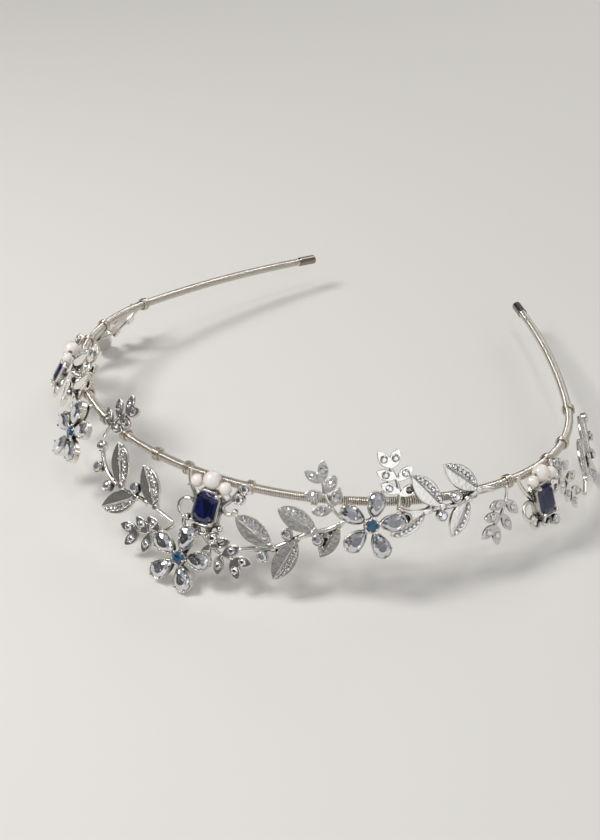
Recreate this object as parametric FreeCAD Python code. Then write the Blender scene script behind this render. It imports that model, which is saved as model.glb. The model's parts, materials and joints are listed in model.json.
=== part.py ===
import FreeCAD, Part
import math
import os
from FreeCAD import Matrix, Placement, Rotation, Vector

os.makedirs("parts", exist_ok=True)

# ---------------------------------------------------------------- driving dimensions, mm
# Head band: three tangent arcs on each side of the front centre.
FRONT_RADIUS, FRONT_SWEEP = 70.5, 62.0
SIDE_RADIUS, SIDE_SWEEP = 56.5, 47.0
LEG_RADIUS, LEG_SWEEP = 265.0, 13.7
BAND_RADIUS = 1.2            # over the wrapping
CORE_RADIUS = 0.7            # spring wire inside the wrapping
CAP_RADIUS, CAP_LENGTH = 1.45, 6.0
SKIRT_ANGLE = 65.0           # castings lean this far from the plane of the band
FIT = 0.02                   # clearance between a stone or wire and its seat

# Castings
LAYER = BAND_RADIUS + 0.06   # backs of the castings lie just in front of the band
BACK_STEP = 0.1              # flat backs stand this far in front of the backs of the stems
BRANCH_SPAN = 30.0
STEM_RADIUS = 0.65
LEAF_LENGTH, LEAF_WIDTH, LEAF_THICK = 11.5, 5.6, 0.9
PAVE_COUNT = 7
COLLET_RADIUS, COLLET_HEIGHT = 1.45, 1.7
SPRIG_LENGTH, SPRIG_STEM_RADIUS = 10.5, 0.45
BUD_LENGTH, BUD_WIDTH, BUD_THICK = 5.2, 2.7, 0.8
BUD_STONE = 0.85             # radius

# Flowers
PEAR_LENGTH, PEAR_WIDTH = 6.0, 4.0
HEART_RADIUS = 1.5
FLOWER_HEIGHT = 3.0          # of the back of the setting over the band's axis
CUP_WALL, CUP_HEIGHT = 0.4, 1.7

# Jewels
SAPPHIRE_LENGTH, SAPPHIRE_WIDTH, SAPPHIRE_CORNER = 8.0, 6.0, 1.5
JEWEL_DROP = 7.4             # stone centre below the band
JEWEL_STATION = 82.0         # of the side jewels
GIRDLE_HEIGHT = 2.3
SCROLL_WIRE = 0.55
PEARL_BIG, PEARL_SMALL = 2.3, 1.65
PEARL_WIRE, PEARL_BORE = 0.25, 0.55
PEARL_ARC = 7.3              # radius of the wire the pearls are strung on
PEARL_SPREAD = 5.8           # its feet, either side of the middle
LASH_WIRE = 0.3


# ---------------------------------------------------------------- small builders
def rod(edges, radius):
    path = Part.Wire(edges)
    first = path.Edges[0]
    start = first.valueAt(first.FirstParameter)
    heading = first.tangentAt(first.FirstParameter)
    ring = Part.Wire([Part.makeCircle(radius, start, heading)])
    return path.makePipeShell([ring], True, False)


def curve_through(points):
    spline = Part.BSplineCurve()
    spline.interpolate(points)
    return spline.toShape()


def join(shapes):
    """One solid from overlapping ones, added one at a time so that each is sure to be taken in."""
    body = shapes[0]
    for shape in shapes[1:]:
        body = body.fuse(shape)
    return max(body.Solids, key=lambda solid: solid.Volume)


def round_rod(points, radius):
    return [rod([curve_through(points)], radius)] + [Part.makeSphere(radius, p) for p in (points[0], points[-1])]


def prism(outline, bottom, height):
    points = [Vector(x, y, bottom) for x, y in outline]
    face = Part.Face(Part.makePolygon(points + points[:1]))
    return face.extrude(Vector(0, 0, height))


def grown(outline, step):
    reach = max(math.hypot(x, y) for x, y in outline)
    scale = (reach + step) / reach
    return [(x * scale, y * scale) for x, y in outline]


def round_outline(radius, count):
    return [(radius * math.cos(2 * math.pi * k / count), radius * math.sin(2 * math.pi * k / count))
            for k in range(count)]


def pear_outline(length, width, count):
    outline = []
    for k in range(count):
        angle = 2 * math.pi * k / count
        outline.append((length / 2 * math.cos(angle),
                        width / 2 * math.sin(angle) * (1 - 0.3 * math.cos(angle))))
    return outline


def octagon_outline(length, width, corner):
    x, y = width / 2, length / 2
    return [(x, y - corner), (x - corner, y), (corner - x, y), (-x, y - corner),
            (-x, corner - y), (corner - x, -y), (x - corner, -y), (x, corner - y)]


def gem(outline, crown, table, rim, depth, culet=0.0):
    """Faceted stone, its girdle's lower edge at z = 0."""
    def ring(scale, z):
        return [Vector(x * scale, y * scale, z) for x, y in outline]
    rings = [ring(table, rim + crown), ring(1.0, rim), ring(1.0, 0.0)]
    count = len(outline)
    if culet:
        rings.append(ring(culet, -depth))
    faces = [Part.Face(Part.makePolygon(rings[0] + rings[0][:1]))]
    for upper, lower in zip(rings, rings[1:]):
        for k in range(count):
            a, b, c, d = upper[k], upper[(k + 1) % count], lower[(k + 1) % count], lower[k]
            faces.append(Part.Face(Part.makePolygon([a, b, c, d, a])))
    if culet:
        faces.append(Part.Face(Part.makePolygon(rings[-1] + rings[-1][:1])))
    else:
        point = Vector(0, 0, -depth)
        for k in range(count):
            a, b = rings[-1][k], rings[-1][(k + 1) % count]
            faces.append(Part.Face(Part.makePolygon([a, b, point, a])))
    solid = Part.makeSolid(Part.makeShell(faces))
    if solid.Volume < 0:
        solid.reverse()
    return solid


def brilliant(radius):
    return gem(round_outline(radius, 8), 0.35 * radius, 0.6, 0.08 * radius, 0.8 * radius)


def moved(shape, x, y, z=0.0, turn=0.0):
    copy = shape.copy()
    copy.Placement = Placement(Vector(x, y, z), Rotation(Vector(0, 0, 1), turn)).multiply(copy.Placement)
    return copy


def mirrored(shape):
    return shape.mirror(Vector(0, 0, 0), Vector(1, 0, 0))


# ---------------------------------------------------------------- the band's path
def band_point(station):
    """Point, heading and outward direction on the band at a distance from its front centre."""
    side = -1.0 if station < 0 else 1.0
    left = abs(station)
    x = y = heading = 0.0
    arcs = ((FRONT_RADIUS, FRONT_SWEEP), (SIDE_RADIUS, SIDE_SWEEP), (LEG_RADIUS, LEG_SWEEP))
    for number, (radius, sweep) in enumerate(arcs):
        angle = left / radius
        if number < 2:
            angle = min(angle, math.radians(sweep))
        cx, cy = x - radius * math.sin(heading), y + radius * math.cos(heading)
        heading += angle
        x, y = cx + radius * math.sin(heading), cy - radius * math.cos(heading)
        left = max(0.0, left - radius * angle)
    tangent = Vector(math.cos(heading), side * math.sin(heading), 0)
    outward = Vector(side * math.sin(heading), -math.cos(heading), 0)
    return Vector(side * x, y, 0), tangent, outward


FRONT_END = FRONT_RADIUS * math.radians(FRONT_SWEEP)
SIDE_END = FRONT_END + SIDE_RADIUS * math.radians(SIDE_SWEEP)
BAND_END = SIDE_END + LEG_RADIUS * math.radians(LEG_SWEEP)


def band_path(reach):
    ends = [-reach, -SIDE_END, -FRONT_END, FRONT_END, SIDE_END, reach]
    edges = []
    for a, b in zip(ends, ends[1:]):
        p, q, r = (band_point(s)[0] for s in (a, (a + b) / 2, b))
        edges.append(Part.Arc(p, q, r).toShape())
    return edges


def seat(station, drop=0.0, turn=0.0):
    """Frame on the skirt of castings: X along the band, Y up to the band, Z away from the head."""
    point, tangent, outward = band_point(station)
    lean = math.radians(SKIRT_ANGLE)
    up = outward * -math.cos(lean) + Vector(0, 0, math.sin(lean))
    away = outward * math.sin(lean) + Vector(0, 0, math.cos(lean))
    origin = point - up * drop
    matrix = Matrix(tangent.x, up.x, away.x, origin.x,
                    tangent.y, up.y, away.y, origin.y,
                    tangent.z, up.z, away.z, origin.z,
                    0, 0, 0, 1)
    return Placement(matrix).multiply(Placement(Vector(0, 0, 0), Rotation(Vector(0, 0, 1), turn)))


def put(shape, place, flip=False):
    copy = mirrored(shape) if flip else shape.copy()
    copy.Placement = place.multiply(copy.Placement)
    return copy


# ---------------------------------------------------------------- templates, each with its stones
def leaf():
    """Pointed leaf from its root along +X: one half plain and raised, the other set with stones."""
    root, tip = Vector(0, 0, 0), Vector(LEAF_LENGTH, 0, 0)
    high = Vector(0.45 * LEAF_LENGTH, LEAF_WIDTH / 2, 0)
    low = Vector(high.x, -high.y, 0)
    spine = Part.makeLine(tip, root)
    upper = Part.Arc(root, high, tip).toShape()
    lower = Part.Arc(root, low, tip).toShape()
    plain = Part.Face(Part.Wire([upper, spine])).extrude(Vector(0, 0, LEAF_THICK + 0.35))
    paved = Part.Face(Part.Wire([lower, spine])).extrude(Vector(0, 0, LEAF_THICK))
    body = join([plain, paved])
    stones, pockets = [], []
    bulge = (LEAF_LENGTH ** 2 / 4 + high.y ** 2) / (2 * high.y)
    pitch = 0.69 * LEAF_LENGTH / (PAVE_COUNT - 1)
    x = 0.17 * LEAF_LENGTH
    for k in range(PAVE_COUNT):
        half = math.sqrt(max(bulge ** 2 - (x - LEAF_LENGTH / 2) ** 2, 0)) - bulge + high.y
        radius = min(0.45 * pitch, 0.36 * half)
        stones.append(moved(brilliant(radius), x, -0.5 * half, LEAF_THICK))
        pockets.append(Part.makeCylinder(radius + FIT, LEAF_THICK, Vector(x, -0.5 * half, LEAF_THICK - 0.85 * radius)))
        x += pitch
    return join([body.cut(pockets)]), stones


def collet():
    cup = Part.makeCylinder(COLLET_RADIUS, COLLET_HEIGHT)
    hole = Part.makeCylinder(COLLET_RADIUS - 0.35, COLLET_HEIGHT, Vector(0, 0, COLLET_HEIGHT - 1.0))
    radius = COLLET_RADIUS - 0.35 - FIT
    return cup.cut(hole), [moved(brilliant(radius), 0, 0, COLLET_HEIGHT - 0.1)]


LEAF_BODY, LEAF_STONES = leaf()
COLLET_BODY, COLLET_STONES = collet()

# Branch layouts: stem points over the span; leaves as (place along the stem, turn, plain half
# above, length share); collets as (place along the stem, offset to the left of the stem).
LOW_BRANCH = dict(
    stem=[(-0.42, -0.16), (-0.25, -0.35), (-0.07, -0.4), (0.17, -0.39), (0.38, -0.4), (0.56, -0.42)],
    leaves=[(0.42, 120, True, 1.0), (0.82, 135, True, 1.0), (0.6, 216, False, 1.0)],
    collets=[(0.0, 0.0), (0.3, -1.9), (0.56, 1.9), (0.14, -1.9)])
RISING_BRANCH = dict(
    stem=[(-0.42, -0.49), (-0.3, -0.465), (-0.17, -0.44), (-0.04, -0.37), (0.08, -0.3), (0.23, -0.24),
          (0.38, -0.14)],
    leaves=[(0.3, 147, True, 1.0), (0.74, 157, True, 0.95), (0.55, 247, False, 1.0), (0.96, 246, True, 0.8)],
    collets=[(0.47, 1.9), (0.72, -1.9), (0.2, -1.9)])
NEAR_BRANCH = dict(
    stem=[(-0.43, -0.04), (-0.3, -0.077), (-0.16, -0.08), (0.02, -0.073), (0.09, -0.063), (0.22, -0.007),
          (0.42, 0.013)],
    leaves=[(0.45, 132, True, 1.0), (0.87, 142, True, 1.0), (0.74, 239, False, 0.9), (0.28, 205, False, 0.95)],
    collets=[(0.6, 1.9), (0.42, -1.9), (0.06, -1.9)])


def branch(layout):
    depth = LAYER + STEM_RADIUS
    points = [Vector(x * BRANCH_SPAN, y * BRANCH_SPAN, depth) for x, y in layout["stem"]]
    spine = curve_through(points)
    span = spine.LastParameter - spine.FirstParameter
    metal = round_rod(points, STEM_RADIUS)
    stones = []
    for share in (0.3, 0.7):
        at = spine.FirstParameter + share * span
        along = spine.tangentAt(at)
        start = spine.valueAt(at) - along * 0.6
        metal.append(Part.makeCylinder(STEM_RADIUS + 0.3, 1.2, start, along))
    for share, turn, plain_up, size in layout["leaves"]:
        root = spine.valueAt(spine.FirstParameter + share * span)
        body = LEAF_BODY.copy()
        kept = [stone.copy() for stone in LEAF_STONES]
        if size != 1.0:
            body.scale(size)
            for stone in kept:
                stone.scale(size)
        if not plain_up:
            body = body.mirror(Vector(0, 0, 0), Vector(0, 1, 0))
            kept = [stone.mirror(Vector(0, 0, 0), Vector(0, 1, 0)) for stone in kept]
        out = Rotation(Vector(0, 0, 1), turn).multVec(Vector(STEM_RADIUS * 0.9, 0, 0))
        metal.append(moved(body, root.x + out.x, root.y + out.y, LAYER + BACK_STEP, turn))
        stones += [moved(stone, root.x + out.x, root.y + out.y, LAYER + BACK_STEP, turn) for stone in kept]
        metal.append(Part.makeCylinder(0.8, 1.5, Vector(root.x + out.x, root.y + out.y, LAYER + BACK_STEP / 2)))
    for share, offset in layout["collets"]:
        at = spine.FirstParameter + share * span
        root, along = spine.valueAt(at), spine.tangentAt(at)
        x, y = root.x - along.y * offset, root.y + along.x * offset
        metal.append(moved(COLLET_BODY, x, y, LAYER + BACK_STEP))
        stones += [moved(stone, x, y, LAYER + BACK_STEP) for stone in COLLET_STONES]
    body = join(metal)
    wells = []
    for share, offset in layout["collets"]:
        at = spine.FirstParameter + share * span
        root, along = spine.valueAt(at), spine.tangentAt(at)
        x, y = root.x - along.y * offset, root.y + along.x * offset
        wells.append(Part.makeCylinder(COLLET_RADIUS - 0.35, 3.0, Vector(x, y, LAYER + BACK_STEP + COLLET_HEIGHT - 1.0)))
    return join([body.cut(wells)]), stones


def sprig():
    """Slender curved twig of single-stone buds, from its root along +X."""
    depth = LAYER + SPRIG_STEM_RADIUS
    points = [Vector(SPRIG_LENGTH * x, SPRIG_LENGTH * y, depth)
              for x, y in ((0, 0), (0.3, 0.05), (0.62, 0.02), (0.95, -0.12))]
    spine = curve_through(points)
    span = spine.LastParameter - spine.FirstParameter
    metal, stones, pockets = round_rod(points, SPRIG_STEM_RADIUS), [], []
    root, tip = Vector(0, 0, 0), Vector(BUD_LENGTH, 0, 0)
    high = Vector(0.45 * BUD_LENGTH, BUD_WIDTH / 2, 0)
    low = Vector(high.x, -high.y, 0)
    outline = Part.Wire([Part.Arc(root, high, tip).toShape(), Part.Arc(tip, low, root).toShape()])
    bud = Part.Face(outline).extrude(Vector(0, 0, BUD_THICK))
    for share, turn in ((0.3, 62), (0.36, -58), (0.66, 50), (0.72, -66), (0.98, 24), (1.0, -34)):
        at = spine.valueAt(spine.FirstParameter + share * span)
        out = Rotation(Vector(0, 0, 1), turn).multVec(Vector(1, 0, 0))
        metal.append(moved(bud, at.x + 0.2 * out.x, at.y + 0.2 * out.y, LAYER + BACK_STEP, turn))
        x, y = at.x + 0.56 * BUD_LENGTH * out.x, at.y + 0.56 * BUD_LENGTH * out.y
        top = LAYER + BACK_STEP + BUD_THICK
        stones.append(moved(brilliant(BUD_STONE), x, y, top))
        pockets.append(Part.makeCylinder(BUD_STONE + FIT, 2.0, Vector(x, y, top - 0.85 * BUD_STONE)))
    return join([join(metal).cut(pockets)]), stones


def flower():
    """Five pear-shaped stones round a round one, with a stalk behind that runs up to the garland."""
    outline = pear_outline(PEAR_LENGTH, PEAR_WIDTH, 16)
    reach = HEART_RADIUS + CUP_WALL + PEAR_LENGTH / 2 + 0.35
    petal = gem(outline, 0.9, 0.55, 0.15, 1.4, 0.15)
    base = FLOWER_HEIGHT
    metal, holes, petals = [Part.makeCylinder(HEART_RADIUS + CUP_WALL, CUP_HEIGHT, Vector(0, 0, base))], [], []
    holes.append(Part.makeCylinder(HEART_RADIUS + FIT, 3.0, Vector(0, 0, base + CUP_HEIGHT - 1.3)))
    for k in range(5):
        turn = 90 + 72 * k
        x, y = reach * math.cos(math.radians(turn)), reach * math.sin(math.radians(turn))
        metal.append(moved(prism(grown(outline, CUP_WALL), base, CUP_HEIGHT), x, y, 0, turn + 180))
        holes.append(moved(prism(grown(outline, FIT), base + 0.15, 4.0), x, y, 0, turn + 180))
        petals.append(moved(petal, x, y, base + CUP_HEIGHT - 0.1, turn + 180))
    body = join(metal).cut(holes)
    claws = []
    for k in range(5):
        turn = 90 + 72 * k
        for along, across in ((PEAR_LENGTH / 2 + 0.1, 0.0), (1.4, PEAR_WIDTH / 2 + 0.1), (1.4, -PEAR_WIDTH / 2 - 0.1)):
            spin = Rotation(Vector(0, 0, 1), turn)
            foot = spin.multVec(Vector(reach + along, across, 0))
            claws.append(Part.makeCylinder(0.38, CUP_HEIGHT + 0.5, Vector(foot.x, foot.y, base)))
    pocket = [moved(prism(grown(outline, FIT), base + 0.15, 4.0),
                    reach * math.cos(math.radians(90 + 72 * k)), reach * math.sin(math.radians(90 + 72 * k)),
                    0, 270 + 72 * k) for k in range(5)]
    stalk_depth = LAYER + STEM_RADIUS
    stalk = round_rod([Vector(0, 0, stalk_depth), Vector(0.4, 3.0, stalk_depth), Vector(1.2, 8.0, stalk_depth)],
                      STEM_RADIUS)
    post = Part.makeCylinder(1.0, base - stalk_depth + 0.3, Vector(0, 0, stalk_depth))
    body = join([body] + [join(claws[k:k + 1]).cut(pocket) for k in range(len(claws))] + stalk + [post])
    heart = moved(gem(round_outline(HEART_RADIUS, 12), 0.7, 0.55, 0.12, 1.0), 0, 0, base + CUP_HEIGHT - 0.1)
    return body, petals, heart


def scroll(x, y, radius, start, sweep, ball):
    z = LAYER + BACK_STEP + SCROLL_WIRE
    edge = Part.makeCircle(radius, Vector(x, y, z), Vector(0, 0, 1), start, start + sweep)
    bead = math.radians(start + sweep)
    rim = math.radians(start)
    return [rod([edge], SCROLL_WIRE),
            Part.makeSphere(ball, Vector(x + radius * math.cos(bead), y + radius * math.sin(bead), z)),
            Part.makeSphere(SCROLL_WIRE, Vector(x + radius * math.cos(rim), y + radius * math.sin(rim), z))]


def jewel():
    """Emerald-cut stone in a claw setting on scrollwork, with pearls over it on the band."""
    outline = octagon_outline(SAPPHIRE_LENGTH, SAPPHIRE_WIDTH, SAPPHIRE_CORNER)
    level = LAYER + GIRDLE_HEIGHT
    stone = moved(gem(outline, 1.1, 0.62, 0.2, 2.2, 0.2), 0, 0, level)
    metal = [prism(grown(outline, 1.1), LAYER, 1.0), prism(grown(outline, 0.5), LAYER, GIRDLE_HEIGHT + 0.1)]
    mid_x, mid_y = (SAPPHIRE_WIDTH - SAPPHIRE_CORNER) / 2, (SAPPHIRE_LENGTH - SAPPHIRE_CORNER) / 2
    for sx in (-1, 1):
        for sy in (-1, 1):
            foot = Vector(sx * (mid_x + 0.25), sy * (mid_y + 0.25), LAYER)
            metal.append(Part.makeCylinder(0.55, GIRDLE_HEIGHT + 0.8, foot))
            metal.append(Part.makeSphere(0.55, foot + Vector(0, 0, GIRDLE_HEIGHT + 0.8)))
    side = SAPPHIRE_WIDTH / 2
    end = SAPPHIRE_LENGTH / 2
    metal += scroll(-side - 2.4, -1.4, 2.3, 40, 250, 0.95)
    metal += scroll(-side - 0.9, -end - 0.7, 1.6, 100, 230, 0.8)
    metal += scroll(side + 1.7, -2.2, 1.9, 150, -250, 0.9)
    metal += scroll(side + 0.3, -end - 1.2, 1.5, 120, -210, 0.75)
    metal += scroll(side + 2.5, 1.9, 2.0, 200, -230, 0.85)
    metal += scroll(0.0, -end - 1.4, 1.3, 30, 300, 0.6)
    half = math.asin(PEARL_SPREAD / PEARL_ARC)
    centre = Vector(0, JEWEL_DROP - 0.3 - PEARL_ARC, BAND_RADIUS + PEARL_BIG + 0.1)
    foot_y = centre.y + PEARL_ARC * math.cos(half)
    z = LAYER + 0.5
    for sx in (-1, 1):
        arm = [Vector(sx * (side + 0.2), 1.2, z), Vector(sx * (side + 1.6), 2.6, z),
               Vector(sx * PEARL_SPREAD, foot_y, z), Vector(sx * (PEARL_SPREAD + 1.2), JEWEL_DROP + 0.6, z)]
        metal += round_rod(arm, 0.6)
    cups = [(8.4, JEWEL_DROP - 0.4), (7.6, JEWEL_DROP - 3.2), (3.4, -end - 2.6)]
    crystals = []
    for x, y in cups:
        metal.append(moved(COLLET_BODY, x, y, LAYER))
        crystals += [moved(item, x, y, LAYER) for item in COLLET_STONES]
    wells = [Part.makeCylinder(COLLET_RADIUS - 0.35, 3.0, Vector(x, y, LAYER + COLLET_HEIGHT - 1.0))
             for x, y in cups]
    wider = grown(outline, FIT)
    wells.append(prism(wider, LAYER - 0.5, GIRDLE_HEIGHT + 0.7))
    wells.append(moved(gem(wider, 1.15, 0.62, 0.25, 0.5, 0.8), 0, 0, level))
    # Pearls side by side on a curved wire that stands on the two arms.
    bow = Part.makeCircle(PEARL_ARC, centre, Vector(0, 0, 1), 90 - math.degrees(half), 90 + math.degrees(half))
    wire = [rod([bow], PEARL_WIRE)]
    for sx in (-1, 1):
        foot = Vector(sx * PEARL_SPREAD, foot_y, LAYER + 0.9)
        wire.append(Part.makeCylinder(PEARL_WIRE, centre.z - foot.z, foot))
        wire.append(Part.makeSphere(PEARL_WIRE, Vector(foot.x, foot.y, centre.z)))
    pearls = []
    step = math.degrees(2 * math.asin((PEARL_BIG + PEARL_SMALL + 0.05) / 2 / PEARL_ARC))
    for turn, radius in ((-step, PEARL_SMALL), (0.0, PEARL_BIG), (step, PEARL_SMALL)):
        angle = math.radians(90 + turn)
        spot = centre + Vector(PEARL_ARC * math.cos(angle), PEARL_ARC * math.sin(angle), 0)
        along = Vector(-math.sin(angle), math.cos(angle), 0)
        hole = Part.makeCylinder(PEARL_BORE, 4 * radius, spot - along * 2 * radius, along)
        pearls.append(Part.makeSphere(radius, spot).cut(hole))
    mount = join([join(metal).cut(wells)])
    wire = join([join(wire).cut(mount)])
    return mount, stone, crystals, pearls, wire


# ---------------------------------------------------------------- build, front to back
nodes = {}


def keep(name, shapes):
    nodes[name] = shapes if isinstance(shapes, list) else [shapes]


wrap = rod(band_path(BAND_END), BAND_RADIUS)
core = rod(band_path(BAND_END), CORE_RADIUS)
hollow = rod(band_path(BAND_END), CORE_RADIUS + FIT)
keep("band_core", core)
keep("band_wrap", wrap.cut(hollow))
caps = {}
for name, sign in (("left", -1), ("right", 1)):
    tip, heading, outward = band_point(sign * BAND_END)
    axis = heading * sign
    cap = Part.makeCylinder(CAP_RADIUS, CAP_LENGTH, tip, axis)
    caps[name] = (tip, axis)
    keep("band_cap_" + name, cap.makeChamfer(0.15, [cap.Edges[k] for k in (0, 2)]))

castings = [wrap]             # earlier ones keep their shape where two meet


def add_casting(name, body):
    for other in castings:
        if body.BoundBox.intersect(other.BoundBox) and body.distToShape(other)[0] < 1e-6:
            body = max(body.cut(other).Solids, key=lambda solid: solid.Volume)
    castings.append(body)
    keep(name, body)


mount, sapphire, crystals, pearls, wire = jewel()
for name, station, flip in (("front", -3.0, False), ("right", JEWEL_STATION, False), ("left", -JEWEL_STATION, True)):
    place = seat(station, JEWEL_DROP)
    add_casting("jewel_%s_mount" % name, put(mount, place, flip))
    keep("jewel_%s_sapphire" % name, put(sapphire, place, flip))
    keep("jewel_%s_crystals" % name, [put(item, place, flip) for item in crystals])
    keep("jewel_%s_pearls" % name, [put(item, place, flip) for item in pearls])
    castings += nodes["jewel_%s_pearls" % name]
    keep("jewel_%s_pearl_wire" % name, put(wire, place, flip))

setting, petals, heart = flower()
for name, station, drop, turn in (("front", -5.9, 21.0, -8), ("left", -49.5, 8.4, 14), ("right", 34.8, 5.4, -10)):
    place = seat(station, drop, turn)
    add_casting("flower_%s_setting" % name, put(setting, place))
    keep("flower_%s_petals" % name, [put(item, place) for item in petals])
    keep("flower_%s_heart" % name, put(heart, place))

BRANCHES = (("front_left", LOW_BRANCH, -25.0, False), ("front_right", RISING_BRANCH, 18.0, False),
            ("right", NEAR_BRANCH, 54.0, False), ("left", NEAR_BRANCH, -66.0, True),
            ("rear_right", LOW_BRANCH, 113.0, True), ("rear_left", LOW_BRANCH, -113.0, False))
for name, layout, station, flip in BRANCHES:
    body, stones = branch(layout)
    place = seat(station)
    add_casting("branch_%s" % name, put(body, place, flip))
    keep("branch_%s_stones" % name, [put(item, place, flip) for item in stones])

SPRIGS = (("front", -10.2, 14.6, 214, False), ("front", -3.0, 13.8, -30, True), ("front", 28.3, 4.3, 128, False),
          ("right", 41.4, 1.8, 93, True), ("right", 71.5, 0.8, 242, False), ("right", 90.0, 2.4, -48, False),
          ("left", -39.5, 3.6, 68, False), ("left", -58.0, 2.2, 108, True), ("left", -90.0, 2.4, 228, True))
twig, buds = sprig()
sets = {}
for number, (side, station, drop, turn, flip) in enumerate(SPRIGS):
    place = seat(station, drop, turn)
    if flip:
        body = twig.mirror(Vector(0, 0, 0), Vector(0, 1, 0))
        stones = [item.mirror(Vector(0, 0, 0), Vector(0, 1, 0)) for item in buds]
    else:
        body, stones = twig, buds
    add_casting("sprig_%d" % (number + 1), put(body, place))
    sets.setdefault(side, []).extend(put(item, place) for item in stones)
for side, stones in sets.items():
    keep("sprig_stones_" + side, stones)

# A seat that another casting or stone covers stays empty.
set_stones = []
for name in [name for name in nodes if name.endswith("stones") or "sprig_stones" in name]:
    kept = []
    for stone in nodes[name]:
        near = [other for other in castings + set_stones if stone.BoundBox.intersect(other.BoundBox)]
        if all(stone.common(other).Volume < 1e-3 for other in near):
            kept.append(stone)
            set_stones.append(stone)
    nodes[name] = kept

# Binding wire: short coils round the band beside the castings they hold.
lashings = []
for station in (-11.6, 5.6, 21.5, 44.0, 62.0, 73.4, 90.6, 102.0, 122.0,
                -21.5, -34.0, -44.0, -58.5, -73.4, -90.6, -102.0, -122.0):
    for k in (-1, 0, 1):
        point, along, outward = band_point(station + k * 2 * LASH_WIRE)
        coil = Part.makeTorus(BAND_RADIUS + LASH_WIRE + FIT, LASH_WIRE * 0.98, point, along)
        for other in castings:
            if coil.BoundBox.intersect(other.BoundBox) and coil.distToShape(other)[0] < 1e-6:
                coil = max(coil.cut(other).Solids, key=lambda solid: solid.Volume)
        lashings.append(coil)
keep("lashings", lashings)

# ---------------------------------------------------------------- lay the tiara down and export
# It rests on its lowest front tips and on the two ends of the band.
cloud = [p for shapes in nodes.values() for shape in shapes for p in shape.tessellate(0.2)[0]]
front = [p for p in cloud if p.y < 0]
back = [p for p in cloud if p.y > 50]
low, high = 0.0, math.radians(30)
for step in range(40):
    angle = (low + high) / 2
    front_low = min(p.y * math.sin(-angle) + p.z * math.cos(angle) for p in front)
    back_low = min(p.y * math.sin(-angle) + p.z * math.cos(angle) for p in back)
    if front_low < back_low:
        low = angle
    else:
        high = angle
lie = Rotation(Vector(1, 0, 0), -math.degrees(angle))
turned = [lie.multVec(p) for p in cloud]
middle = [(min(values) + max(values)) / 2 for values in ([p.x for p in turned], [p.y for p in turned])]
floor = Placement(Vector(-middle[0], -middle[1], -min(p.z for p in turned)), lie)
for name, shapes in nodes.items():
    placed = [put(shape, floor) for shape in shapes]
    item = placed[0] if len(placed) == 1 else Part.makeCompound(placed)
    item.exportStep("parts/%s.step" % name)
print("nodes", len(nodes), "lie", round(math.degrees(angle), 2), "shift", floor.Base)
for name, (tip, axis) in caps.items():
    print("cap", name, floor.multVec(tip), lie.multVec(axis))
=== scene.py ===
import json
import math

import bmesh
import bpy
import numpy as np
from mathutils import Matrix, Vector

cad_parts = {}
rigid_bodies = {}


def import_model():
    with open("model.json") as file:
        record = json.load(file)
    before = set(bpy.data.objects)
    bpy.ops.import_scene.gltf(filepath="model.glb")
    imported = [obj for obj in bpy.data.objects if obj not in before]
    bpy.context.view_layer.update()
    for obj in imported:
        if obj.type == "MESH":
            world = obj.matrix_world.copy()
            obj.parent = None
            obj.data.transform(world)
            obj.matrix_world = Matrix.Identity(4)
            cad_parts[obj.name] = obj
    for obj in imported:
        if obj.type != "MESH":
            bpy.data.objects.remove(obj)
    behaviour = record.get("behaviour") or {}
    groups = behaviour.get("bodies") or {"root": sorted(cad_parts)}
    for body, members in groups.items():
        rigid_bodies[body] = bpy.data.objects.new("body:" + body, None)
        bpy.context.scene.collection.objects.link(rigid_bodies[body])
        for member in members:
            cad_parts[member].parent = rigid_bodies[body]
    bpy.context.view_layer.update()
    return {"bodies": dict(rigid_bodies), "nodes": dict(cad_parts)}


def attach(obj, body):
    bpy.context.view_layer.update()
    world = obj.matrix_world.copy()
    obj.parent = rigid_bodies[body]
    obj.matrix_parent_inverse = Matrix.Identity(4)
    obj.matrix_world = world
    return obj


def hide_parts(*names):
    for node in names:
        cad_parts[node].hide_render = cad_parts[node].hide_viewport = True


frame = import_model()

# ---- Head band -------------------------------------------------------------------------------
# A springy wire bent to a horseshoe and wound along its whole length with fine champagne-silver
# wire, so that it shows close-set ribs; its two ends run bare into darker blunt caps.
band_body = list(frame["bodies"])[0]
mm = 0.001
arcs = ((70.5, 62.0), (56.5, 47.0), (265.0, 13.7))       # radius mm, sweep degrees, from the front
band_radius = 1.2
coil_wire = 0.25
coil_pitch = 0.52
coil_steps = 14                 # points of the winding in one turn
sleeve = 0.3                    # how far the core of the winding lies under its outside
path_step = 1.2
lie_angle = 4.99
lie_shift = Vector((0.0, -62.759, 23.560))


def band_points(step):
    """Points of the band's centre line from the left end to the right, in the row frame."""
    half = []
    x = y = heading = 0.0
    for radius, sweep in arcs:
        cx, cy = x - radius * math.sin(heading), y + radius * math.cos(heading)
        count = max(8, int(radius * math.radians(sweep) / step))
        for k in range(1, count + 1):
            angle = heading + math.radians(sweep) * k / count
            half.append((cx + radius * math.sin(angle), cy - radius * math.cos(angle)))
        heading += math.radians(sweep)
        x, y = half[-1]
    flat = [(-a, b) for a, b in reversed(half)] + [(0.0, 0.0)] + half
    turn = Matrix.Rotation(-math.radians(lie_angle), 3, "X")
    return [(turn @ Vector((a, b, 0)) + lie_shift) * mm for a, b in flat]


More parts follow.
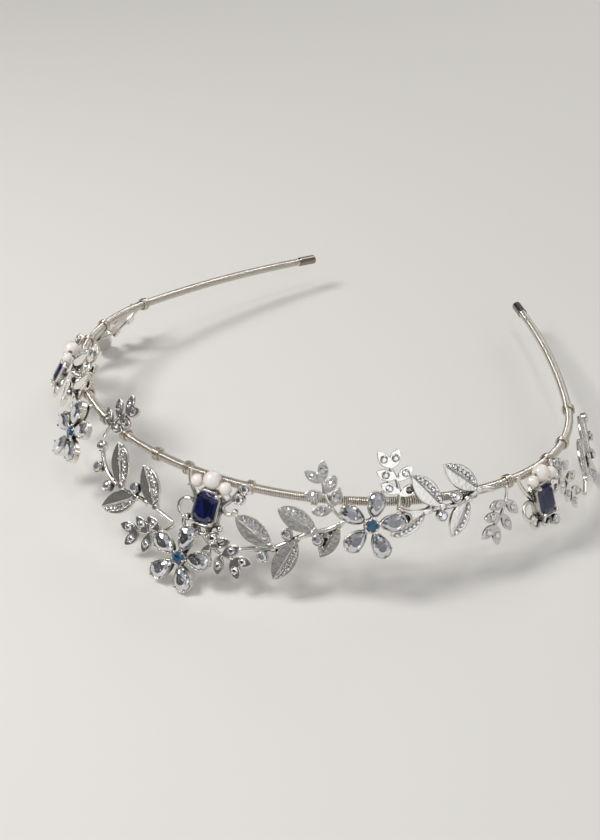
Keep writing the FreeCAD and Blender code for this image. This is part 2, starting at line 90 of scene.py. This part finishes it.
def antique_silver_group():
    """Polished silver that darkens in its recesses. Bright and Dark are its two colours, Tarnish
    is how far the dark creeps out, Reach how wide a recess counts, Grain and Relief the casting's
    skin. Gives colour, roughness and normal."""
    group = bpy.data.node_groups.new("antique_silver", "ShaderNodeTree")
    face = group.interface
    for name, kind, value in (("Bright", "NodeSocketColor", (0.8, 0.76, 0.7, 1)),
                              ("Dark", "NodeSocketColor", (0.05, 0.04, 0.035, 1)),
                              ("Tarnish", "NodeSocketFloat", 0.5), ("Reach", "NodeSocketFloat", 0.0009),
                              ("Grain", "NodeSocketFloat", 900.0), ("Relief", "NodeSocketFloat", 0.25)):
        face.new_socket(name, in_out="INPUT", socket_type=kind).default_value = value
    for name, kind in (("Color", "NodeSocketColor"), ("Roughness", "NodeSocketFloat"),
                       ("Normal", "NodeSocketVector")):
        face.new_socket(name, in_out="OUTPUT", socket_type=kind)
    nodes, links = group.nodes, group.links
    inputs, outputs = nodes.new("NodeGroupInput"), nodes.new("NodeGroupOutput")
    place = nodes.new("ShaderNodeTexCoord")
    hollow = nodes.new("ShaderNodeAmbientOcclusion")
    hollow.samples = 6
    hollow.only_local = True
    links.new(inputs.outputs["Reach"], hollow.inputs["Distance"])
    cloud = nodes.new("ShaderNodeTexNoise")
    cloud.inputs["Detail"].default_value = 4
    links.new(place.outputs["Object"], cloud.inputs["Vector"])
    links.new(inputs.outputs["Grain"], cloud.inputs["Scale"])
    uneven = nodes.new("ShaderNodeMath")
    uneven.operation = "MULTIPLY_ADD"
    uneven.inputs[1].default_value = 0.35
    links.new(cloud.outputs["Fac"], uneven.inputs[0])
    links.new(hollow.outputs["AO"], uneven.inputs[2])
    span = nodes.new("ShaderNodeMapRange")
    links.new(uneven.outputs[0], span.inputs["Value"])
    links.new(inputs.outputs["Tarnish"], span.inputs["From Min"])
    span.inputs["From Max"].default_value = 1.08
    mix = nodes.new("ShaderNodeMixRGB")
    links.new(span.outputs["Result"], mix.inputs["Fac"])
    links.new(inputs.outputs["Dark"], mix.inputs["Color1"])
    links.new(inputs.outputs["Bright"], mix.inputs["Color2"])
    links.new(mix.outputs["Color"], outputs.inputs["Color"])
    gloss = nodes.new("ShaderNodeMapRange")
    gloss.inputs["To Min"].default_value = 0.5
    gloss.inputs["To Max"].default_value = 0.16
    links.new(span.outputs["Result"], gloss.inputs["Value"])
    links.new(gloss.outputs["Result"], outputs.inputs["Roughness"])
    skin = nodes.new("ShaderNodeBump")
    skin.inputs["Distance"].default_value = 0.0001
    links.new(inputs.outputs["Relief"], skin.inputs["Strength"])
    links.new(cloud.outputs["Fac"], skin.inputs["Height"])
    links.new(skin.outputs["Normal"], outputs.inputs["Normal"])
    return group


silver_group = antique_silver_group()


def silver_material(name, **values):
    """Metal whose colours come from the shared silver group with these inputs."""
    material = bpy.data.materials.new(name)
    material.use_nodes = True
    shader = material.node_tree.nodes["Principled BSDF"]
    shader.inputs["Metallic"].default_value = 1.0
    look = material.node_tree.nodes.new("ShaderNodeGroup")
    look.node_tree = silver_group
    for key, value in values.items():
        look.inputs[key].default_value = value
    for out, into in (("Color", "Base Color"), ("Roughness", "Roughness"), ("Normal", "Normal")):
        material.node_tree.links.new(look.outputs[out], shader.inputs[into])
    return material


def evaluated(item):
    """The object's mesh with its modifiers worked in; the modifiers are then removed."""
    graph = bpy.context.evaluated_depsgraph_get()
    graph.update()
    mesh = bpy.data.meshes.new_from_object(item.evaluated_get(graph))
    item.modifiers.clear()
    item.data = mesh
    return item


def add_object(name, mesh):
    item = bpy.data.objects.new(name, mesh)
    bpy.context.scene.collection.objects.link(item)
    return item


def coil_tree():
    """Winds a round wire along a path: Radius of the winding, Wire radius, Turns, Core radius,
    and Upright, which is square to the path's plane."""
    tree = bpy.data.node_groups.new("band_winding", "GeometryNodeTree")
    face = tree.interface
    face.new_socket("Geometry", in_out="INPUT", socket_type="NodeSocketGeometry")
    for name, kind, value in (("Radius", "NodeSocketFloat", 0.00095), ("Wire", "NodeSocketFloat", 0.00025),
                              ("Core", "NodeSocketFloat", 0.00085), ("Turns", "NodeSocketInt", 700),
                              ("Upright", "NodeSocketVector", (0, 0, 1))):
        face.new_socket(name, in_out="INPUT", socket_type=kind).default_value = value
    face.new_socket("Material", in_out="INPUT", socket_type="NodeSocketMaterial")
    face.new_socket("Geometry", in_out="OUTPUT", socket_type="NodeSocketGeometry")
    nodes, links = tree.nodes, tree.links
    inputs, outputs = nodes.new("NodeGroupInput"), nodes.new("NodeGroupOutput")
    path = nodes.new("GeometryNodeMeshToCurve")
    links.new(inputs.outputs["Geometry"], path.inputs["Mesh"])
    count = nodes.new("ShaderNodeMath")
    count.operation = "MULTIPLY"
    count.inputs[1].default_value = coil_steps
    links.new(inputs.outputs["Turns"], count.inputs[0])
    fine = nodes.new("GeometryNodeResampleCurve")
    links.new(path.outputs["Curve"], fine.inputs["Curve"])
    links.new(count.outputs[0], fine.inputs["Count"])
    index = nodes.new("GeometryNodeInputIndex")
    angle = nodes.new("ShaderNodeMath")
    angle.operation = "MULTIPLY"
    angle.inputs[1].default_value = 2 * math.pi / coil_steps
    links.new(index.outputs[0], angle.inputs[0])
    tangent = nodes.new("GeometryNodeInputTangent")
    upright = nodes.new("ShaderNodeVectorMath")
    upright.operation = "CROSS_PRODUCT"
    links.new(tangent.outputs[0], upright.inputs[0])
    links.new(inputs.outputs["Upright"], upright.inputs[1])
    start = nodes.new("ShaderNodeVectorMath")
    start.operation = "NORMALIZE"
    links.new(upright.outputs[0], start.inputs[0])
    turn = nodes.new("ShaderNodeVectorRotate")
    links.new(start.outputs[0], turn.inputs["Vector"])
    links.new(tangent.outputs[0], turn.inputs["Axis"])
    links.new(angle.outputs[0], turn.inputs["Angle"])
    reach = nodes.new("ShaderNodeVectorMath")
    reach.operation = "SCALE"
    links.new(turn.outputs[0], reach.inputs[0])
    links.new(inputs.outputs["Radius"], reach.inputs["Scale"])
    wound = nodes.new("GeometryNodeSetPosition")
    links.new(fine.outputs["Curve"], wound.inputs["Geometry"])
    links.new(reach.outputs[0], wound.inputs["Offset"])
    ring = nodes.new("GeometryNodeCurvePrimitiveCircle")
    ring.inputs["Resolution"].default_value = 6
    links.new(inputs.outputs["Wire"], ring.inputs["Radius"])
    wire = nodes.new("GeometryNodeCurveToMesh")
    links.new(wound.outputs["Geometry"], wire.inputs["Curve"])
    links.new(ring.outputs["Curve"], wire.inputs["Profile Curve"])
    wire.inputs["Fill Caps"].default_value = True
    core_ring = nodes.new("GeometryNodeCurvePrimitiveCircle")
    core_ring.inputs["Resolution"].default_value = 16
    links.new(inputs.outputs["Core"], core_ring.inputs["Radius"])
    core = nodes.new("GeometryNodeCurveToMesh")
    links.new(path.outputs["Curve"], core.inputs["Curve"])
    links.new(core_ring.outputs["Curve"], core.inputs["Profile Curve"])
    core.inputs["Fill Caps"].default_value = True
    both = nodes.new("GeometryNodeJoinGeometry")
    links.new(core.outputs["Mesh"], both.inputs["Geometry"])
    links.new(wire.outputs["Mesh"], both.inputs["Geometry"])
    real = nodes.new("GeometryNodeRealizeInstances")
    links.new(both.outputs["Geometry"], real.inputs["Geometry"])
    paint = nodes.new("GeometryNodeSetMaterial")
    links.new(real.outputs["Geometry"], paint.inputs["Geometry"])
    links.new(inputs.outputs["Material"], paint.inputs["Material"])
    links.new(paint.outputs["Geometry"], outputs.inputs["Geometry"])
    return tree


def set_inputs(modifier, **values):
    """Sets a Geometry Nodes modifier's inputs by their names."""
    for item in modifier.node_group.interface.items_tree:
        if item.item_type == "SOCKET" and item.in_out == "INPUT" and item.name in values:
            modifier[item.identifier] = values[item.name]


wrap_metal = silver_material("wrap_wire", Bright=(0.84, 0.79, 0.71, 1), Dark=(0.10, 0.08, 0.06, 1),
                             Tarnish=0.62, Reach=0.0004, Relief=0.1)
line = band_points(path_step)
path_mesh = bpy.data.meshes.new("band_winding")
path_mesh.from_pydata([tuple(p) for p in line], [(k, k + 1) for k in range(len(line) - 1)], [])
winding = add_object("band_winding", path_mesh)
modifier = winding.modifiers.new("winding", "NODES")
modifier.node_group = coil_tree()
length = sum((b - a).length for a, b in zip(line, line[1:]))
set_inputs(modifier, Radius=(band_radius - coil_wire) * mm, Wire=coil_wire * mm, Core=(band_radius - sleeve) * mm,
           Turns=int(length / (coil_pitch * mm)), Material=wrap_metal,
           Upright=(0, math.sin(math.radians(lie_angle)), math.cos(math.radians(lie_angle))))
evaluated(winding)
for polygon in winding.data.polygons:
    polygon.use_smooth = True
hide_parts("band_wrap")
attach(winding, band_body)

# The sealed core, the darker caps and the short binding coils keep their CAD shapes.
core_metal = silver_material("spring_wire", Bright=(0.55, 0.54, 0.52, 1), Dark=(0.15, 0.14, 0.13, 1),
                             Tarnish=0.3)
cap_metal = silver_material("cap_metal", Bright=(0.30, 0.26, 0.22, 1), Dark=(0.05, 0.04, 0.03, 1),
                            Tarnish=0.5)
binding_metal = silver_material("binding_wire", Bright=(0.68, 0.62, 0.53, 1), Dark=(0.08, 0.065, 0.05, 1),
                                Tarnish=0.5, Reach=0.0006, Relief=0.1)


def paint(node, material):
    """Gives a CAD node that is kept as it is one material."""
    item = frame["nodes"][node]
    item.data.materials.clear()
    item.data.materials.append(material)
    for polygon in item.data.polygons:
        polygon.material_index = 0


paint("band_core", core_metal)
paint("band_cap_left", cap_metal)
paint("band_cap_right", cap_metal)
paint("lashings", binding_metal)

# ---- Stones ----------------------------------------------------------------------------------
# Clear round brilliants and pears, deep navy step-cut octagons and teal round centres, all of
# them set table outwards. Each takes its seat, facing and size from its solid in the frame.


def merged(node):
    """A copy of a CAD node's mesh with its shared corners joined."""
    mesh = frame["nodes"][node].data.copy()
    shape = bmesh.new()
    shape.from_mesh(mesh)
    bmesh.ops.remove_doubles(shape, verts=shape.verts, dist=1e-7)
    shape.to_mesh(mesh)
    shape.free()
    return mesh


def seats(node):
    """For each stone of a node: girdle centre, turn (Euler, long way along X, table along Z), half sizes."""
    shape = bmesh.new()
    mesh = merged(node)
    shape.from_mesh(mesh)
    shape.verts.ensure_lookup_table()
    found, left = [], set(range(len(shape.verts)))
    while left:
        stack, part = [left.pop()], []
        while stack:
            k = stack.pop()
            part.append(k)
            for edge in shape.verts[k].link_edges:
                other = edge.other_vert(shape.verts[k]).index
                if other in left:
                    left.discard(other)
                    stack.append(other)
        points = np.array([shape.verts[k].co[:] for k in part])
        middle = points.mean(0)
        values, vectors = np.linalg.eigh(np.cov((points - middle).T))
        up, wide = vectors[:, 0], vectors[:, 2]
        rise = (points - middle) @ up
        if rise.max() > -rise.min():
            up, rise = -up, -rise
        across = np.cross(up, wide)
        x, y = (points - middle) @ wide, (points - middle) @ across
        if (x * np.abs(y)).sum() > 1e-15 * len(points):
            wide, across, x, y = -wide, -across, -x, -y
        reach = np.hypot(x, y)
        girdle = reach > 0.97 * reach.max()
        place = (middle + up * rise[girdle].mean() + wide * (x.max() + x.min()) / 2
                 + across * (y.max() + y.min()) / 2)
        spin = Matrix((wide, across, up)).transposed()
        found.append((place, spin.to_euler(), ((x.max() - x.min()) / 2, (y.max() - y.min()) / 2)))
    shape.free()
    bpy.data.meshes.remove(mesh)
    return found


def hull(name, points):
    """A closed faceted mesh over these points."""
    shape = bmesh.new()
    for point in points:
        shape.verts.new(point)
    bmesh.ops.convex_hull(shape, input=shape.verts)
    bmesh.ops.delete(shape, geom=[v for v in shape.verts if not v.link_faces], context="VERTS")
    bmesh.ops.dissolve_limit(shape, angle_limit=0.01, verts=shape.verts, edges=shape.edges)
    bmesh.ops.recalc_face_normals(shape, faces=shape.faces)
    mesh = bpy.data.meshes.new(name)
    shape.to_mesh(mesh)
    shape.free()
    return mesh


def rings(outline, levels):
    """Points of an outline scaled and raised by each level: (scale, height, half a step round or not)."""
    points = []
    for scale, height, shifted in levels:
        count = len(outline)
        for k, (x, y) in enumerate(outline):
            if shifted:
                nx, ny = outline[(k + 1) % count]
                x, y = (x + nx) / 2, (y + ny) / 2
            points.append((x * scale, y * scale, height))
    return points


circle8 = [(math.cos(k * math.pi / 4), math.sin(k * math.pi / 4)) for k in range(8)]
circle16 = [(math.cos(k * math.pi / 8), math.sin(k * math.pi / 8)) for k in range(16)]
pear16 = [(math.cos(k * math.pi / 8), math.sin(k * math.pi / 8) * (1 - 0.3 * math.cos(k * math.pi / 8)) / 1.045)
          for k in range(16)]
octagon = [(1, 0.5), (0.625, 1), (-0.625, 1), (-1, 0.5), (-1, -0.5), (-0.625, -1), (0.625, -1), (1, -0.5)]
cuts = {
    "brilliant": hull("brilliant", rings(circle8, [(0.56, 0.40, False), (0.86, 0.26, True)])
                      + rings(circle16, [(1.0, 0.02, False)]) + [(0, 0, -0.82)]),
    "round_fine": hull("round_fine", rings(circle8, [(0.55, 0.42, False), (0.84, 0.28, True), (0.5, -0.42, True)])
                       + rings(circle16, [(1.0, 0.04, False), (1.0, -0.03, False)]) + [(0, 0, -0.8)]),
    "pear": hull("pear", rings(pear16, [(0.5, 0.32, False), (0.82, 0.2, True), (1.0, 0.02, False),
                                        (1.0, -0.02, False), (0.6, -0.28, True)]) + [(0.05, 0, -0.48)]),
    "step": hull("step", rings(octagon, [(0.60, 0.30, False), (0.80, 0.22, False), (0.97, 0.06, False),
                                         (1.0, 0.0, False), (0.80, -0.22, False), (0.52, -0.42, False),
                                         (0.2, -0.55, False)])),
}
cut_objects = {name: bpy.data.objects.new("cut_" + name, mesh) for name, mesh in cuts.items()}


def setter_tree():
    """Puts a Cut on every point, turned and sized by the point's own values, and paints it."""
    tree = bpy.data.node_groups.new("stone_setter", "GeometryNodeTree")
    face = tree.interface
    face.new_socket("Geometry", in_out="INPUT", socket_type="NodeSocketGeometry")
    face.new_socket("Cut", in_out="INPUT", socket_type="NodeSocketObject")
    face.new_socket("Material", in_out="INPUT", socket_type="NodeSocketMaterial")
    face.new_socket("Geometry", in_out="OUTPUT", socket_type="NodeSocketGeometry")
    nodes, links = tree.nodes, tree.links
    inputs, outputs = nodes.new("NodeGroupInput"), nodes.new("NodeGroupOutput")
    cut = nodes.new("GeometryNodeObjectInfo")
    links.new(inputs.outputs["Cut"], cut.inputs["Object"])
    turn = nodes.new("GeometryNodeInputNamedAttribute")
    turn.data_type = "FLOAT_VECTOR"
    turn.inputs["Name"].default_value = "turn"
    size = nodes.new("GeometryNodeInputNamedAttribute")
    size.data_type = "FLOAT_VECTOR"
    size.inputs["Name"].default_value = "size"
    spin = nodes.new("FunctionNodeEulerToRotation")
    links.new(turn.outputs["Attribute"], spin.inputs["Euler"])
    copies = nodes.new("GeometryNodeInstanceOnPoints")
    links.new(inputs.outputs["Geometry"], copies.inputs["Points"])
    links.new(cut.outputs["Geometry"], copies.inputs["Instance"])
    links.new(spin.outputs["Rotation"], copies.inputs["Rotation"])
    links.new(size.outputs["Attribute"], copies.inputs["Scale"])
    real = nodes.new("GeometryNodeRealizeInstances")
    links.new(copies.outputs["Instances"], real.inputs["Geometry"])
    paint = nodes.new("GeometryNodeSetMaterial")
    links.new(real.outputs["Geometry"], paint.inputs["Geometry"])
    links.new(inputs.outputs["Material"], paint.inputs["Material"])
    links.new(paint.outputs["Geometry"], outputs.inputs["Geometry"])
    return tree


setter = setter_tree()


def scatter(name, places, turns, sizes, cut, material):
    """One mesh of a cut repeated at these places."""
    mesh = bpy.data.meshes.new(name)
    mesh.from_pydata([tuple(p) for p in places], [], [])
    for key, rows in (("turn", turns), ("size", sizes)):
        values = mesh.attributes.new(key, "FLOAT_VECTOR", "POINT")
        values.data.foreach_set("vector", np.array([tuple(row) for row in rows], "f").ravel())
    item = add_object(name, mesh)
    modifier = item.modifiers.new("setter", "NODES")
    modifier.node_group = setter
    set_inputs(modifier, Cut=cut, Material=material)
    return evaluated(item)


def stone_material(name, colour, transmission, ior, roughness=0.0, coat=0.0, foil=0.0):
    """Cut stone whose facets take, at random, a lighter or a darker tone of its colour: painted light and shade
    on the facets.
    """
    material = bpy.data.materials.new(name)
    material.use_nodes = True
    nodes, links = material.node_tree.nodes, material.node_tree.links
    shader = nodes["Principled BSDF"]
    shader.inputs["Transmission Weight"].default_value = transmission
    shader.inputs["IOR"].default_value = ior
    shader.inputs["Roughness"].default_value = roughness
    shader.inputs["Coat Weight"].default_value = coat
    # Foil is the mirror backing of a rhinestone, which throws light back out of the front.
    shader.inputs["Metallic"].default_value = foil
    # Painted light and shade: each facet gets a lighter or darker tone at random, keyed to the way it faces, in
    # place of the light it would catch.
    facing = nodes.new("ShaderNodeNewGeometry")
    split = nodes.new("ShaderNodeTexWhiteNoise")
    split.noise_dimensions = "3D"
    links.new(facing.outputs["True Normal"], split.inputs["Vector"])
    mix = nodes.new("ShaderNodeMixRGB")
    mix.inputs["Color1"].default_value = (*colour[0], 1)
    mix.inputs["Color2"].default_value = (*colour[1], 1)
    links.new(split.outputs["Value"], mix.inputs["Fac"])
    links.new(mix.outputs["Color"], shader.inputs["Base Color"])
    return material


# Each stone's two tones are its painted lit and painted shaded facet colours.
crystal = stone_material("crystal", ((1.0, 1.0, 1.0), (0.90, 0.93, 0.98)), 1.0, 1.85, foil=0.7)
navy = stone_material("sapphire", ((0.001, 0.003, 0.022), (0.006, 0.018, 0.12)), 0.3, 1.77, 0.02, 0.25)
teal = stone_material("teal_stone", ((0.01, 0.06, 0.14), (0.05, 0.22, 0.40)), 0.4, 1.7, 0.02, 0.6)


def set_stones(node, cut, material, depth=None):
    """New stones over a node's solids; depth is their height share, by half width unless given."""
    found = seats(node)
    sizes = []
    for place, turn, (long, wide) in found:
        sizes.append((long, wide, wide if depth is None else depth * mm))
    places, turns = [seat[0] for seat in found], [seat[1] for seat in found]
    item = scatter(node + "_cut", places, turns, sizes, cut_objects[cut], material)
    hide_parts(node)
    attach(item, band_body)
    return found


# ---- Castings --------------------------------------------------------------------------------
# Every metal ornament is cast: edges and joints are softly rounded, the high parts polished
# bright and the recesses left dark.
cast_metal = silver_material("silver", Bright=(0.86, 0.83, 0.77, 1), Dark=(0.03, 0.024, 0.019, 1),
                             Tarnish=0.86, Reach=0.0022, Relief=0.45)
bead_mesh = bpy.data.meshes.new("bead")
shape = bmesh.new()
bmesh.ops.create_icosphere(shape, subdivisions=2, radius=1.0)
for bead_face in shape.faces:
    bead_face.smooth = True
shape.to_mesh(bead_mesh)
shape.free()
bead = bpy.data.objects.new("bead", bead_mesh)


def cast(node, voxel, rounds):
    """A casting's skin: the CAD solid with its corners rounded off."""
    item = add_object(node + "_cast", merged(node))
    skin = item.modifiers.new("skin", "REMESH")
    skin.mode = "VOXEL"
    skin.voxel_size = voxel * mm
    skin.use_smooth_shade = True
    soften = item.modifiers.new("soften", "SMOOTH")
    soften.factor = 0.5
    soften.iterations = rounds
    evaluated(item)
    item.data.materials.clear()
    item.data.materials.append(cast_metal)
    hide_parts(node)
    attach(item, band_body)


def beads(name, found, count, size, out, lift, start=45.0):
    """Small set-down beads round each stone that hold it."""
    places, turns, sizes = [], [], []
    for place, turn, (long, wide) in found:
        spin = turn.to_matrix()
        for k in range(count):
            angle = math.radians(start + 360 / count * k)
            step = spin @ Vector((long * out * math.cos(angle), wide * out * math.sin(angle), lift * wide))
            places.append(Vector(place) + step)
            turns.append((0, 0, 0))
            sizes.append((size * mm,) * 3)
    item = scatter(name, places, turns, sizes, bead, cast_metal)
    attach(item, band_body)


# ---- Jewels ----------------------------------------------------------------------------------
# Three claw-set step-cut sapphires on scrollwork, one at the front and one on each side, each
# with two small pearls either side of a big one strung over it on the band.
pearl_material = bpy.data.materials.new("pearl")
pearl_material.use_nodes = True
nodes, links = pearl_material.node_tree.nodes, pearl_material.node_tree.links
shader = nodes["Principled BSDF"]
shader.inputs["Roughness"].default_value = 0.14
shader.inputs["Coat Weight"].default_value = 1.0
shader.inputs["Coat Roughness"].default_value = 0.06
shader.inputs["Subsurface Weight"].default_value = 0.25
shader.inputs["Subsurface Radius"].default_value = (0.0012, 0.0009, 0.0007)
shader.inputs["Subsurface Scale"].default_value = 1.0
# Painted sheen and shade: the pearl's colour turns darker and pinker towards its outline, by the angle it is seen
# at.
painted_sheen_weight = nodes.new("ShaderNodeLayerWeight")
painted_sheen_weight.inputs["Blend"].default_value = 0.35
painted_sheen_tint = nodes.new("ShaderNodeMixRGB")
painted_sheen_tint.inputs["Color1"].default_value = (0.93, 0.89, 0.84, 1)
painted_sheen_tint.inputs["Color2"].default_value = (0.80, 0.64, 0.60, 1)
links.new(painted_sheen_weight.outputs["Facing"], painted_sheen_tint.inputs["Fac"])
links.new(painted_sheen_tint.outputs["Color"], shader.inputs["Base Color"])

for side in ("front", "right", "left"):
    name = "jewel_" + side
    cast(name + "_mount", 0.13, 3)
    set_stones(name + "_sapphire", "step", navy, 3.4)
    beads(name + "_crystal_beads", set_stones(name + "_crystals", "round_fine", crystal),
          4, 0.3, 1.06, 0.1)
    paint(name + "_pearl_wire", cast_metal)
    pearl_mesh = merged(name + "_pearls")
    pearls = add_object(name + "_pearls_round", pearl_mesh)
    pearls.data.materials.clear()
    pearls.data.materials.append(pearl_material)
    pearls.data.shade_smooth()
    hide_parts(name + "_pearls")
    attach(pearls, band_body)

# ---- Flowers ---------------------------------------------------------------------------------
# Five pear crystals round a teal stone, each in its own walled cup with rounded claws. One hangs
# below the front jewel and one stands on each side.
for side in ("front", "left", "right"):
    name = "flower_" + side
    cast(name + "_setting", 0.14, 3)
    set_stones(name + "_petals", "pear", crystal, 3.2)
    beads(name + "_heart_beads", set_stones(name + "_heart", "round_fine", teal),
          5, 0.32, 1.05, 0.15)

# ---- Leaf branches ---------------------------------------------------------------------------
# Cast stems with two collars, pointed leaves plain on one half and pave-set on the other, and
# round stones in tube collets beside the stem.
for side in ("front_left", "front_right", "right", "left", "rear_right", "rear_left"):
    name = "branch_" + side
    cast(name, 0.14, 3)
    beads(name + "_beads", set_stones(name + "_stones", "brilliant", crystal), 4, 0.16, 1.0, 0.1)

# ---- Sprigs ----------------------------------------------------------------------------------
# Thin curved twigs of six small buds, each bud holding one round crystal, unless another casting
# covers it.
for number in range(1, 10):
    cast("sprig_%d" % number, 0.12, 3)
for side in ("front", "right", "left"):
    name = "sprig_stones_" + side
    beads(name + "_beads", set_stones(name, "brilliant", crystal), 4, 0.2, 1.02, 0.12)

# ---- Table, light and camera -----------------------------------------------------------------
# The tiara lies on a plain pale table under broad soft light, with a few small bright lamps that
# the stones pick up. The room is banded light and dark, so that facets and rims catch contrast.
table_mesh = bpy.data.meshes.new("table")
table_mesh.from_pydata([(-2, -2, 0), (2, -2, 0), (2, 2, 0), (-2, 2, 0)], [], [(0, 1, 2, 3)])
table = add_object("table", table_mesh)
cloth = bpy.data.materials.new("cloth")
cloth.use_nodes = True
cloth.node_tree.nodes["Principled BSDF"].inputs["Base Color"].default_value = (0.78, 0.765, 0.735, 1)
cloth.node_tree.nodes["Principled BSDF"].inputs["Roughness"].default_value = 0.95
table.data.materials.append(cloth)


def lamp(name, place, aim, size, power, colour):
    """A square lamp, turned towards a point."""
    light = bpy.data.lights.new(name, "AREA")
    light.size = size
    light.energy = power
    light.color = colour
    item = bpy.data.objects.new(name, light)
    bpy.context.scene.collection.objects.link(item)
    item.location = place
    item.rotation_euler = (Vector(aim) - Vector(place)).to_track_quat("-Z", "Y").to_euler()


lamp("key", (-0.35, -0.25, 0.55), (0, -0.03, 0), 0.22, 2.6, (1.0, 0.98, 0.95))
lamp("fill", (0.55, -0.35, 0.35), (0, -0.02, 0), 0.4, 0.45, (0.95, 0.97, 1.0))
lamp("back", (0.1, 0.6, 0.45), (0, 0, 0), 0.4, 0.9, (1.0, 0.98, 0.96))
lamp("spark_left", (-0.25, -0.5, 0.45), (0, -0.05, 0), 0.04, 0.16, (1, 1, 1))
lamp("spark_right", (0.3, -0.45, 0.5), (0.03, -0.05, 0), 0.04, 0.16, (1, 1, 1))
lamp("spark_top", (0.05, -0.1, 0.7), (0, -0.05, 0), 0.05, 0.2, (1, 1, 1))

world = bpy.data.worlds.new("room")
bpy.context.scene.world = world
world.use_nodes = True
nodes, links = world.node_tree.nodes, world.node_tree.links
sky = nodes["Background"]
sky.inputs["Strength"].default_value = 0.48
direction = nodes.new("ShaderNodeTexCoord")
split = nodes.new("ShaderNodeSeparateXYZ")
links.new(direction.outputs["Generated"], split.inputs["Vector"])
height = nodes.new("ShaderNodeValToRGB")
for spot, level in ((0.0, 0.2), (0.12, 1.5), (0.3, 0.06), (0.45, 1.6), (0.62, 0.08), (0.8, 1.5)):
    stop = height.color_ramp.elements.new(spot) if spot > 0 else height.color_ramp.elements[0]
    stop.color = (level, level, level * 1.02, 1)
links.new(split.outputs["Z"], height.inputs["Fac"])
side = nodes.new("ShaderNodeMapRange")
side.inputs["From Min"].default_value = -0.9
side.inputs["From Max"].default_value = 0.6
side.inputs["To Min"].default_value = 0.25
side.inputs["To Max"].default_value = 1.0
links.new(split.outputs["X"], side.inputs["Value"])
shade = nodes.new("ShaderNodeVectorMath")
shade.operation = "SCALE"
links.new(height.outputs["Color"], shade.inputs[0])
links.new(side.outputs["Result"], shade.inputs["Scale"])
links.new(shade.outputs["Vector"], sky.inputs["Color"])

camera_data = bpy.data.cameras.new("camera")
camera_data.lens = 62.2
camera_data.sensor_width = 36.0
camera_data.clip_start = 0.01
camera = bpy.data.objects.new("camera", camera_data)
bpy.context.scene.collection.objects.link(camera)
azimuth, elevation, roll = 19.57, 28.47, 5.26            # degrees
distance, across, rise, beyond = 408.1, -7.16, -12.05, 65      # mm; it aims beyond the front
a, e, r = (math.radians(value) for value in (azimuth, elevation, roll))
back = Vector((math.sin(a) * math.cos(e), -math.cos(a) * math.cos(e), math.sin(e)))
flat = Vector((math.cos(a), math.sin(a), 0))
upper = back.cross(flat)
right = math.cos(r) * flat + math.sin(r) * upper
up = -math.sin(r) * flat + math.cos(r) * upper
place = back * distance + right * across + up * rise + Vector((0, beyond, 0))
lie = Matrix.Rotation(-math.radians(lie_angle), 3, "X")
camera.location = (lie @ place + lie_shift) * mm
camera.rotation_euler = (lie @ Matrix((right, up, back)).transposed()).to_euler()
bpy.context.scene.camera = camera
bpy.context.scene.view_settings.view_transform = "Standard"
